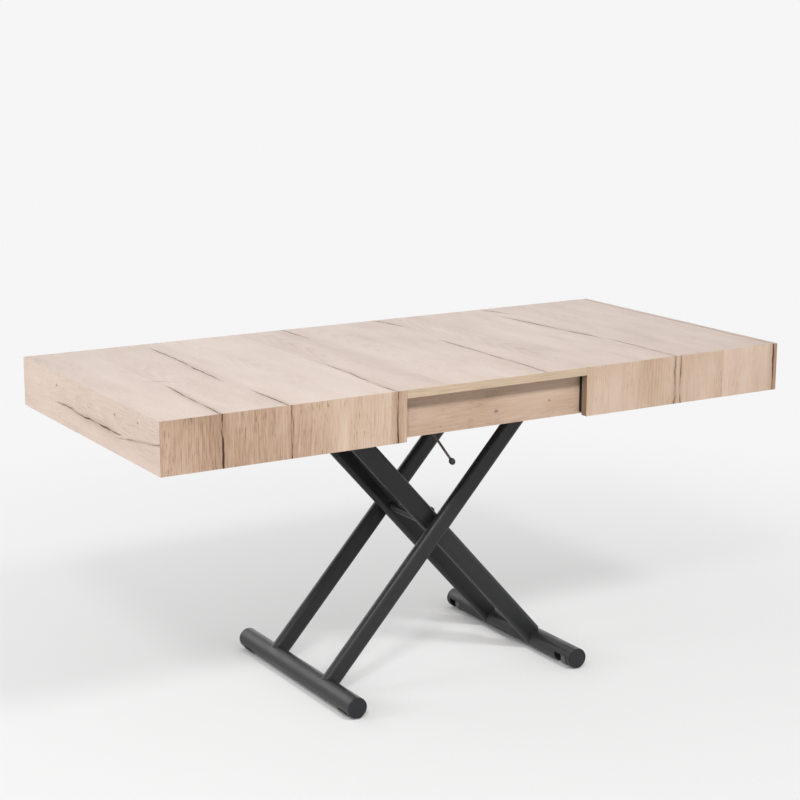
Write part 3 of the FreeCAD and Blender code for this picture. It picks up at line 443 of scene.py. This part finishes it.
def oak_group():
    """Light oak: bands, growth rings about a heart line, fibres, pores and dashes, from pale to rich."""
    inputs = ("Across", "Along", "Tone", "Heart", "Depth", "Line", "Stain", "Rich", "Contrast")
    outputs = (
        ("Color", "NodeSocketColor"),
        ("Height", "NodeSocketFloat"),
        ("Roughness", "NodeSocketFloat"),
    )
    graph, given, result = group_with("oak", inputs, outputs)
    across, along, tone, heart, depth, line, stain, rich, contrast = [given[name] for name in inputs]
    shift = graph.times(tone, GRAIN_SHIFT_PER_TONE)
    length = graph.plus(along, shift)
    drift = graph.streaks(across, length, across_scale=5.0, along_scale=1.3, seed=shift)
    side = graph.swing(drift, GRAIN_DRIFT, across)
    ring = growth_rings(graph, across, side, along, length, heart, depth, shift)

    bands = graph.streaks(side, length, across_scale=13.0, along_scale=0.8, detail=3.0, seed=1.0)
    blotches = graph.streaks(side, length, across_scale=16.0, along_scale=5.0, detail=3.0, seed=6.0)
    streaks = graph.streaks(side, length, across_scale=250.0, along_scale=8.0, detail=3.0, seed=2.0)
    fibres = graph.streaks(side, length, across_scale=620.0, along_scale=24.0, seed=3.0)
    pores = graph.streaks(side, length, across_scale=1100.0, along_scale=40.0, seed=5.0)
    pores = graph.spread(pores, 0.60, 0.74)
    dashes = graph.streaks(side, length, across_scale=520.0, along_scale=42.0, seed=8.0)
    dash_patches = graph.streaks(side, length, across_scale=24.0, along_scale=7.0, seed=9.0)
    dashes = graph.times(graph.spread(dashes, 0.56, 0.67), graph.spread(dash_patches, 0.44, 0.62))

    fine = graph.swing(streaks, STREAK_WEIGHT)
    fine = graph.swing(fibres, FIBRE_WEIGHT, fine)
    fine = graph.times_plus(dashes, -DASH_WEIGHT, fine)
    fine = graph.times_plus(pores, -PORE_WEIGHT, fine)
    shade = graph.swing(bands, BAND_WEIGHT)
    shade = graph.swing(blotches, BLOTCH_WEIGHT, shade)
    shade = graph.times_plus(fine, contrast, shade)
    ring_weight = graph.times_plus(rich, -RING_WEIGHT_LOST_WHEN_RICH, RING_WEIGHT)
    shade = graph.minus(shade, graph.times(ring, ring_weight))
    shade = graph.plus(shade, tone)

    wood = graph.mix(rich, graph.ramp(shade, PALE_OAK), graph.ramp(shade, RICH_OAK))
    wood = graph.mix(graph.times(stain, STAIN_COVER), wood, STAIN_BROWN)
    wood = graph.mix(graph.times(line, CRACK_COVER), wood, CRACK_BROWN)
    graph.feed(result["Color"], wood)
    hollows = graph.times_plus(pores, PORE_RELIEF, line)
    graph.feed(result["Height"], graph.minus(graph.times(fibres, FIBRE_RELIEF), hollows))
    graph.feed(result["Roughness"], graph.spread(streaks, 0.3, 0.7, to_low=0.40, to_high=0.50))
    return graph.tree


OAK = oak_group()


def plank_figure(graph, across, planks):
    """The tone, heart and depth of the plank at a place, from the colours of a stepped ramp."""
    position = graph.times_plus(across, 0.5 / PLANK_SPAN, 0.5)
    stops = []
    for plank in planks:
        start = (plank.start + PLANK_SPAN) / 2 / PLANK_SPAN
        heart = (plank.heart + PLANK_SPAN) / 2 / PLANK_SPAN
        stops.append((start, (plank.tone, heart, plank.depth)))
    tone, heart, depth = graph.split(graph.ramp(position, stops, steps=True))
    return tone, graph.times_plus(heart, 2 * PLANK_SPAN, -PLANK_SPAN), depth


def finish_oak(graph, shader, across, along, figure, cracks, rich, contrast):
    """Puts the oak group on a material's shader. The figure is its tone, heart and depth."""
    oak = graph.add("ShaderNodeGroup", node_tree=OAK)
    tone, heart, depth = figure
    line, stain = cracks.masks() if cracks else (0.0, 0.0)
    given = {
        "Across": across,
        "Along": along,
        "Tone": tone,
        "Heart": heart,
        "Depth": depth,
        "Line": line,
        "Stain": stain,
        "Rich": rich,
        "Contrast": contrast,
    }
    for name, source in given.items():
        graph.feed(oak.inputs[name], source)
    graph.feed(shader.inputs["Base Color"], oak.outputs["Color"])
    graph.feed(shader.inputs["Roughness"], oak.outputs["Roughness"])
    if cracks:
        specular = graph.spread(line, 0.0, 1.0, to_low=OAK_SPECULAR, to_high=CRACK_SPECULAR)
        graph.feed(shader.inputs["Specular IOR Level"], specular)
    relief = graph.bump(oak.outputs["Height"], strength=0.35, distance=0.0005)
    graph.feed(shader.inputs["Normal"], relief)
    return oak


def top_cracks(graph, across, along):
    """The cracks that run across the top."""
    cracks = Cracks(graph, across, along)
    cracks.add(place=-0.517, start=0.35, end=-0.11, lean=0.05, sway=0.02, width=0.0026)
    cracks.add(place=-0.516, start=-0.19, end=-0.44, sway=0.012, width=0.0030)
    cracks.add(place=-0.662, start=-0.05, end=-0.47, lean=0.05, sway=0.012, width=0.0026)
    cracks.add(place=-0.648, start=0.00, end=-0.07, lean=-1.45, sway=0.030, width=0.0075)
    cracks.add(place=-0.136, start=0.43, end=0.22, lean=-0.04, sway=0.012, width=0.0026)
    cracks.add(place=-0.256, start=-0.02, end=-0.46, lean=0.05, sway=0.014, width=0.0024)
    cracks.add(place=0.131, start=0.48, end=0.22, lean=-0.20, sway=0.012, width=0.0028)
    cracks.add(place=0.130, start=0.10, end=-0.42, sway=0.016, width=0.0024)
    cracks.add(place=0.464, start=0.42, end=0.25, lean=-0.30, sway=0.010, width=0.0032)
    cracks.add(place=0.459, start=0.29, end=-0.13, lean=-0.118, sway=0.016, width=0.0036)
    cracks.add(place=0.490, start=-0.08, end=-0.47, sway=0.022, width=0.0020)
    cracks.add(place=0.787, start=0.60, end=-0.60, sway=0.014, width=0.0014)
    return cracks


def planked_oak(name):
    """A material with pale planks across the table, and its graph, shader and oak."""
    material, graph, shader = new_material(name, OAK_ROUGHNESS)
    x, y, _ = graph.own_place()
    figure = plank_figure(graph, x, TOP_PLANKS)
    oak = finish_oak(graph, shader, x, y, figure, top_cracks(graph, x, y), rich=0.0, contrast=0.62)
    return material, graph, shader, oak


def oak_top():
    """The two boards of the top."""
    return planked_oak("oak_planks")[0]


def oak_leaf():
    """The leaf: the planks run on over it, and its front and back edges have a plain edge band."""
    material, graph, shader, oak = planked_oak("oak_leaf")
    x, _, z = graph.own_place()
    edge = graph.spread(graph.math("ABSOLUTE", graph.own_normal()[1]), 0.6, 0.8)
    lines = graph.streaks(z, x, across_scale=900.0, along_scale=12.0, detail=3.0, seed=6.0)
    band = graph.ramp(lines, [
        (0.25, (0.43, 0.315, 0.205)),
        (0.5, (0.61, 0.47, 0.33)),
        (0.8, (0.70, 0.565, 0.415)),
    ])
    graph.feed(shader.inputs["Base Color"], graph.mix(edge, oak.outputs["Color"], band))
    return material


def oak_front():
    """The front and back aprons: richer planks on end, and a bare edge where the board stops."""
    material, graph, shader = new_material("oak_fronts", OAK_ROUGHNESS)
    x, y, z = graph.own_place()
    below_top = graph.minus(TABLE_HEIGHT, z)
    along = graph.times(graph.math("SIGN", y), graph.plus(HALF_WIDTH, below_top))
    figure = plank_figure(graph, x, FRONT_PLANKS)
    cracks = Cracks(graph, x, along)
    cracks.add_through(place=-0.664, sway=0.003, width=0.0036)
    cracks.add_through(place=-0.509, sway=0.008, width=0.0020)
    cracks.add_through(place=-0.259, sway=0.014, width=0.0028)
    cracks.add_through(place=0.491, sway=0.034, width=0.0016)
    cracks.add_through(place=0.503, sway=-0.030, width=0.0016)
    cracks.add_through(place=0.788, sway=0.006, width=0.0034)
    contrast = graph.spread(x, -0.3, 0.4, to_low=1.0, to_high=0.60)
    oak = finish_oak(graph, shader, x, along, figure, cracks, rich=1.0, contrast=contrast)
    edge = graph.spread(graph.math("ABSOLUTE", graph.own_normal()[0]), 0.8, 0.9)
    chip_place = graph.vector(graph.times(y, 700.0), graph.times(z, 380.0))
    chips = graph.noise(chip_place, detail=3.0, roughness=0.65)
    bare = graph.ramp(chips, [
        (0.3, (0.25, 0.165, 0.105)),
        (0.55, (0.36, 0.25, 0.165)),
        (0.8, (0.44, 0.32, 0.22)),
    ])
    graph.feed(shader.inputs["Base Color"], graph.mix(edge, oak.outputs["Color"], bare))
    return material


def add_knots(graph, shader, oak, along, height, knots):
    """Puts small dark knots on an apron's oak, each longer along it than high."""
    mask = 0.0
    for knot in knots:
        off_along = graph.times(graph.minus(along, knot.along), KNOT_SQUEEZE)
        off_height = graph.minus(height, knot.height)
        off = graph.distance(off_along, off_height)
        core = knot.size * KNOT_CORE
        rim = knot.size * KNOT_RIM
        spot = graph.spread(off, core, rim, to_low=1.0, to_high=0.0)
        mask = graph.math("MAXIMUM", mask, spot)
    knotted = graph.mix(graph.times(mask, KNOT_COVER), oak.outputs["Color"], KNOT_BROWN)
    graph.feed(shader.inputs["Base Color"], knotted)


def oak_end():
    """The end aprons: the grain of the outer planks runs along them, with a few small knots."""
    material, graph, shader = new_material("oak_ends", OAK_ROUGHNESS)
    x, y, z = graph.own_place()
    side = graph.math("SIGN", x)
    across = graph.plus(x, graph.times(side, graph.minus(TABLE_HEIGHT, z)))
    cracks = Cracks(graph, across, y)
    cracks.add(place=-0.866, start=0.20, end=-0.22, lean=-0.01, sway=0.026, width=0.0014)
    cracks.add(place=-0.866, start=0.09, end=-0.20, lean=-0.01, sway=0.026, width=0.0028)
    cracks.add(place=-0.857, start=-0.14, end=-0.46, lean=-0.137, sway=0.010, width=0.0009)
    cracks.add(place=0.862, start=0.05, end=-0.30, lean=0.04, sway=0.022, width=0.0022)
    tone = 0.68
    heart = graph.times(side, 0.838)
    depth = 0.03
    oak = finish_oak(graph, shader, across, y, (tone, heart, depth), cracks, rich=0.25, contrast=0.95)
    add_knots(graph, shader, oak, y, z, END_KNOTS)
    return material


def oak_box():
    """The fixed box's aprons, with their grain lengthways and a few small knots."""
    material, graph, shader = new_material("oak_box", OAK_ROUGHNESS)
    x, _, z = graph.own_place()
    tone = 0.54
    heart = 0.665
    depth = 0.04
    oak = finish_oak(graph, shader, z, x, (tone, heart, depth), cracks=None, rich=0.85, contrast=0.5)
    add_knots(graph, shader, oak, x, z, BOX_KNOTS)
    return material


def plain_wood():
    """Planed softwood of the battens."""
    material, graph, shader = new_material("batten_wood", roughness=0.6)
    x, y, z = graph.own_place()
    wide = graph.streaks(y, x, across_scale=240.0, along_scale=3.0, detail=3.0, seed=2.0)
    fine = graph.streaks(z, x, across_scale=700.0, along_scale=14.0, seed=7.0)
    grain = graph.shared(wide, fine, part=0.7)
    colour = graph.ramp(grain, [
        (0.3, (0.50, 0.35, 0.20)),
        (0.52, (0.66, 0.50, 0.32)),
        (0.75, (0.74, 0.60, 0.42)),
    ])
    graph.feed(shader.inputs["Base Color"], colour)
    graph.feed(shader.inputs["Normal"], graph.bump(grain, strength=0.3, distance=0.0004))
    return material


def coated_steel():
    """Fine-textured anthracite powder coat."""
    material, graph, shader = new_material("coated_steel", roughness=0.4, specular=0.36)
    grit = graph.grit(2600.0, roughness=0.6)
    cloud = graph.grit(18.0, detail=3.0)
    tint = graph.shared(cloud, grit, part=0.6)
    colour = graph.ramp(tint, [
        (0.3, (0.0160, 0.0165, 0.0172)),
        (0.5, (0.0195, 0.0200, 0.0208)),
        (0.7, (0.0235, 0.0240, 0.0250)),
    ])
    graph.feed(shader.inputs["Base Color"], colour)
    graph.feed(shader.inputs["Roughness"], graph.spread(cloud, 0.3, 0.7, to_low=0.36, to_high=0.46))
    graph.feed(shader.inputs["Normal"], graph.bump(grit, strength=0.05, distance=0.0002))
    return material


def steel(name, dark, middle, light):
    """Plated steel with rolling lines and a cloudy sheen."""
    material, graph, shader = new_material(name, roughness=0.36, metallic=1.0)
    x, y, z = graph.own_place()
    lines = graph.streaks(graph.plus(y, z), x, across_scale=900.0, along_scale=6.0, seed=1.0)
    cloud = graph.grit(22.0, detail=3.0)
    tint = graph.shared(lines, cloud, part=0.45)
    graph.feed(shader.inputs["Base Color"], graph.ramp(tint, [(0.25, dark), (0.5, middle), (0.75, light)]))
    graph.feed(shader.inputs["Roughness"], graph.spread(cloud, 0.3, 0.7, to_low=0.28, to_high=0.44))
    graph.feed(shader.inputs["Normal"], graph.bump(lines, strength=0.12, distance=0.0002))
    return material


def moulded(name, dark, light, roughness, grain):
    """Matte moulded plastic or rubber with a fine spark-eroded grain."""
    material, graph, shader = new_material(name, roughness, specular=0.4)
    speckle = graph.grit(grain, roughness=0.6)
    graph.feed(shader.inputs["Base Color"], graph.ramp(speckle, [(0.3, dark), (0.7, light)]))
    graph.feed(shader.inputs["Normal"], graph.bump(speckle, strength=0.25, distance=0.0002))
    return material


def felt(name, dark, light):
    """Short-napped felt."""
    material, graph, shader = new_material(name, roughness=0.95, specular=0.1)
    shader.inputs["Sheen Weight"].default_value = 0.1
    nap = graph.grit(1500.0, detail=3.0, roughness=0.7)
    graph.feed(shader.inputs["Base Color"], graph.ramp(nap, [(0.3, dark), (0.7, light)]))
    graph.feed(shader.inputs["Normal"], graph.bump(nap, strength=0.6, distance=0.0005))
    return material


def dress(material, *names):
    """Gives CAD nodes a material."""
    for name in names:
        slots = nodes[name].data.materials
        slots.clear()
        slots.append(material)


def dress_nodes():
    """Gives every CAD node the look of its slot, and the oak the look of its place."""
    by_slot = {}
    for subpart in frame["record"]["subparts"]:
        by_slot.setdefault(subpart["material_slot"], []).append(subpart["node"])
    oak_nodes = by_slot["oak_decor"]
    dress(oak_top(), *oak_nodes)
    dress(oak_front(), *[name for name in oak_nodes if name.endswith(("front_apron", "back_apron"))])
    dress(oak_leaf(), "extension_leaf")
    dress(oak_end(), "left_end_apron", "right_end_apron")
    dress(oak_box(), "front_inner_apron", "back_inner_apron")
    dress(plain_wood(), *by_slot["plain_wood"])
    dress(felt("felt", dark=(0.10, 0.10, 0.10), light=(0.24, 0.235, 0.23)), *by_slot["felt"])
    dress(coated_steel(), *by_slot["black_paint"])
    zinc = steel("zinc_steel", dark=(0.47, 0.47, 0.46), middle=(0.58, 0.58, 0.57),
                 light=(0.66, 0.66, 0.67))
    dress(zinc, *by_slot["zinc_steel"])
    rod = steel("lever_steel", dark=(0.17, 0.17, 0.165), middle=(0.22, 0.22, 0.215),
                light=(0.28, 0.28, 0.275))
    dress(rod, "lever_rod")
    plastic = moulded("black_plastic", dark=(0.008, 0.0095, 0.011), light=(0.015, 0.018, 0.020),
                      roughness=0.5, grain=1800.0)
    dress(plastic, *by_slot["black_plastic"])
    pad_rubber = moulded("dark_rubber", dark=(0.016, 0.016, 0.017), light=(0.030, 0.030, 0.031),
                         roughness=0.75, grain=1200.0)
    dress(pad_rubber, *by_slot["dark_rubber"])
    wheel_rubber = moulded("grey_rubber", dark=(0.10, 0.102, 0.105), light=(0.15, 0.152, 0.155),
                           roughness=0.6, grain=1500.0)
    dress(wheel_rubber, *by_slot["grey_rubber"])


def rounded_slab(name, low, high, corner, edge):
    """A slab between two points: its outline in x and z has round corners, and its rims are eased."""
    corner_steps = 6
    rim_segments = 2
    level = 1e-6
    build = bmesh.new()
    middle_x, middle_z = (low[0] + high[0]) / 2, (low[2] + high[2]) / 2
    half_x, half_z = (high[0] - low[0]) / 2 - corner, (high[2] - low[2]) / 2 - corner
    ring = []
    for quarter, (sign_x, sign_z) in enumerate(((1, 1), (-1, 1), (-1, -1), (1, -1))):
        for step in range(corner_steps + 1):
            turn = math.pi / 2 * (quarter + step / corner_steps)
            x = middle_x + sign_x * half_x + corner * math.cos(turn)
            z = middle_z + sign_z * half_z + corner * math.sin(turn)
            ring.append(build.verts.new((x, low[1], z)))
    face = build.faces.new(ring)
    swept = bmesh.ops.extrude_face_region(build, geom=[face])["geom"]
    moved = [item for item in swept if isinstance(item, bmesh.types.BMVert)]
    bmesh.ops.translate(build, verts=moved, vec=(0.0, high[1] - low[1], 0.0))
    bmesh.ops.recalc_face_normals(build, faces=build.faces)
    rims = [item for item in build.edges if abs(item.verts[0].co.y - item.verts[1].co.y) < level]
    bmesh.ops.bevel(build, geom=rims, offset=edge, segments=rim_segments, affect="EDGES")
    mesh = bpy.data.meshes.new(name)
    build.to_mesh(mesh)
    build.free()
    return new_object(name, mesh)


def gap_shade_strips():
    """Felt glide strips that close the gap between the box and each half's aprons at their inner ends; their
    near-black felt is painted shade, the dark of the gap.
    """
    # The felt's near-black colour is painted shade: it stands in for the dark of the gap behind the strips.
    material = felt("gap_shade_felt", dark=(0.008, 0.007, 0.006), light=(0.020, 0.018, 0.016))
    box_low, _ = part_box("front_inner_apron")
    apron_low, apron_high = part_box("left_front_apron")
    board_low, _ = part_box("left_top_board")
    box_side = -box_low.y + STRIP_OFF_BOX
    apron_side = -apron_high.y
    inner_end = -apron_high.x
    outer_end = inner_end + STRIP_LENGTH
    bottom = apron_low.z + STRIP_ABOVE_RIM
    top = board_low.z - STRIP_BELOW_BOARD
    for side_x, body in ((-1, "left_shell"), (1, "right_shell")):
        for side_y, place in ((-1, "front"), (1, "back")):
            x_low, x_high = sorted((side_x * inner_end, side_x * outer_end))
            y_low, y_high = sorted((side_y * box_side, side_y * apron_side))
            name = body + "_" + place + "_gap_shade"
            low, high = (x_low, y_low, bottom), (x_high, y_high, top)
            strip = rounded_slab(name, low, high, STRIP_CORNER, STRIP_EDGE)
            strip.data.materials.append(material)
            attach(strip, body)


def seen_rays(graph):
    """One for the rays that show a thing itself, to the camera, in a reflection or through a clear piece."""
    rays = graph.add("ShaderNodeLightPath").outputs
    seen = graph.math("MAXIMUM", rays["Is Camera Ray"], rays["Is Glossy Ray"])
    return graph.math("MAXIMUM", seen, rays["Is Transmission Ray"])


def pale_world():
    """A white background that lights the table less than it shows."""
    world = bpy.data.worlds.new("studio")
    bpy.context.scene.world = world
    world.use_nodes = True
    graph = Graph(world.node_tree)
    backdrop = world.node_tree.nodes["Background"]
    backdrop.inputs["Color"].default_value = (1.0, 1.0, 1.0, 1.0)
    strength = graph.times_plus(seen_rays(graph), SKY_SEEN - SKY_LIGHT, SKY_LIGHT)
    graph.feed(backdrop.inputs["Strength"], strength)


def covered(graph, white, reach, closed, least):
    """Less white where the table, within reach, closes off the sky, and least where it closes off most."""
    cover = graph.add("ShaderNodeAmbientOcclusion", samples=2)
    cover.inputs["Distance"].default_value = reach
    return graph.times(white, graph.spread(cover.outputs["AO"], closed, 1.0, to_low=least, to_high=1.0))


def floor_material():
    """A pale floor that takes the table's shadow and whitens into the background."""
    material, graph, shader = new_material("floor", roughness=0.9, specular=0.1)
    x, y, _ = graph.own_place()
    white = graph.spread(graph.distance(x, y), 0.8, 2.6, to_low=0.63, to_high=1.0)
    white = covered(graph, white, reach=0.16, closed=0.30, least=0.0)
    white = covered(graph, white, reach=1.3, closed=0.45, least=0.58)
    seen = seen_rays(graph)
    graph.feed(shader.inputs["Base Color"], graph.ramp(seen, [(0.0, FLOOR_LIT), (1.0, FLOOR_SEEN)]))
    glow = graph.add("ShaderNodeEmission")
    glow.inputs["Color"].default_value = (SKY_SEEN, SKY_SEEN, SKY_SEEN, 1.0)
    blend = graph.add("ShaderNodeMixShader")
    graph.feed(blend.inputs[0], graph.times(seen, white))
    graph.feed(blend.inputs[1], shader.outputs[0])
    graph.feed(blend.inputs[2], glow.outputs[0])
    graph.feed(material.node_tree.nodes["Material Output"].inputs["Surface"], blend.outputs[0])
    return material


def pale_floor():
    """A round floor that runs out into the background."""
    mesh = bpy.data.meshes.new("floor")
    corners = []
    for index in range(FLOOR_CORNERS):
        turn = 2 * math.pi * index / FLOOR_CORNERS
        corners.append((FLOOR_RADIUS * math.cos(turn), FLOOR_RADIUS * math.sin(turn), 0.0))
    mesh.from_pydata(corners, [], [list(range(FLOOR_CORNERS))])
    floor = new_object("floor", mesh)
    mesh.materials.append(floor_material())


def hang_lamps():
    """Soft lamps, which the camera doesn't see."""
    for given in LAMPS:
        light = bpy.data.lights.new(given.name, "AREA")
        light.shape = "DISK"
        light.size = given.size
        light.energy = given.power
        lamp = new_object(given.name, light)
        lamp.location = given.place
        lamp.visible_camera = False
        way = Vector(given.aim) - Vector(given.place)
        lamp.rotation_euler = way.to_track_quat("-Z", "Y").to_euler()


def camera():
    """The camera at the photograph's place and angle."""
    flat = math.cos(CAMERA_ELEVATION)
    back_x = math.sin(CAMERA_AZIMUTH) * flat
    back_y = -math.cos(CAMERA_AZIMUTH) * flat
    back = Vector((back_x, back_y, math.sin(CAMERA_ELEVATION)))
    level = Vector((math.cos(CAMERA_AZIMUTH), math.sin(CAMERA_AZIMUTH), 0.0))
    steep = back.cross(level)
    right = level * math.cos(CAMERA_ROLL) + steep * math.sin(CAMERA_ROLL)
    up = steep * math.cos(CAMERA_ROLL) - level * math.sin(CAMERA_ROLL)
    data = bpy.data.cameras.new("camera")
    data.lens = CAMERA_LENS
    data.sensor_width = SENSOR_WIDTH
    data.sensor_fit = "HORIZONTAL"
    data.clip_end = FAR_CLIP
    eye = new_object("camera", data)
    turn = Matrix((right, up, back)).transposed().to_4x4()
    eye.matrix_world = Matrix.Translation(CAMERA_PLACE) @ turn
    bpy.context.scene.camera = eye


dress_nodes()
gap_shade_strips()
pale_world()
pale_floor()
hang_lamps()
camera()
bpy.context.scene.view_settings.view_transform = "Standard"
